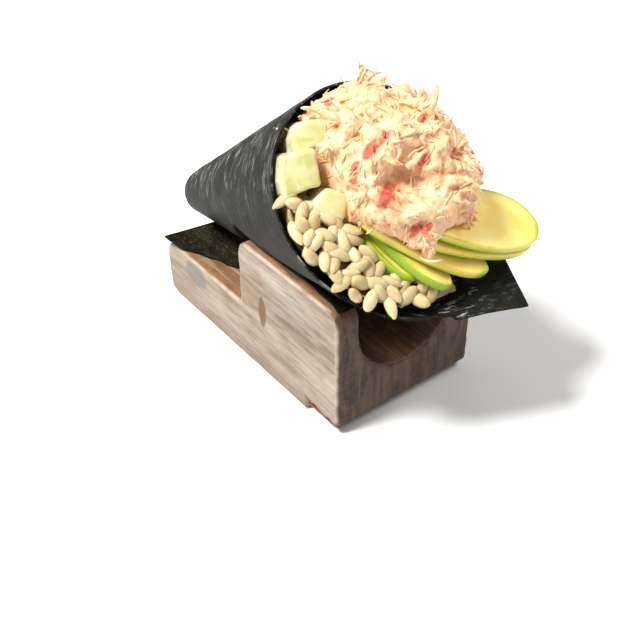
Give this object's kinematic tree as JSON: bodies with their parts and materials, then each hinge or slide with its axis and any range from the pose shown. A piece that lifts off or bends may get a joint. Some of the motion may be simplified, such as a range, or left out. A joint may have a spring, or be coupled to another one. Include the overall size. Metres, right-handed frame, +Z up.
{
  "type": "temaki hand roll",
  "caption": "Cone of seaweed filled with rice, shredded crab salad, cucumber and fanned avocado, resting in a grooved wooden stand",
  "frame": {"origin": "centre of the wooden stand's rectangular footprint, on the surface it stands on", "axes": "+Z up; the mouth of the roll faces -Y and looks up; the tip points to +Y; +X is to the right when looking into the mouth"},
  "size_m": [0.0671, 0.1167, 0.0852],
  "materials": {
    "wood": "weathered, matt",
    "nori": "glossy black-green with streaks",
    "nori_flat": "speckled dark green, half matt",
    "rice": "moist, cooked",
    "crab": "creamy, shredded",
    "cucumber": "wet cut flesh",
    "avocado": "smooth, slightly moist"
  },
  "bodies": {
    "root": {"stand": "wood", "nori_wrap": "nori", "nori_leaf": "nori_flat", "rice": "rice", "crab_salad": "crab", "cucumber_stick_1": "cucumber", "cucumber_stick_2": "cucumber", "cucumber_stick_3": "cucumber", "avocado_slice_1": "avocado", "avocado_slice_2": "avocado", "avocado_slice_3": "avocado", "avocado_slice_4": "avocado", "avocado_slice_5": "avocado", "avocado_slice_6": "avocado"}
  },
  "joints": []
}
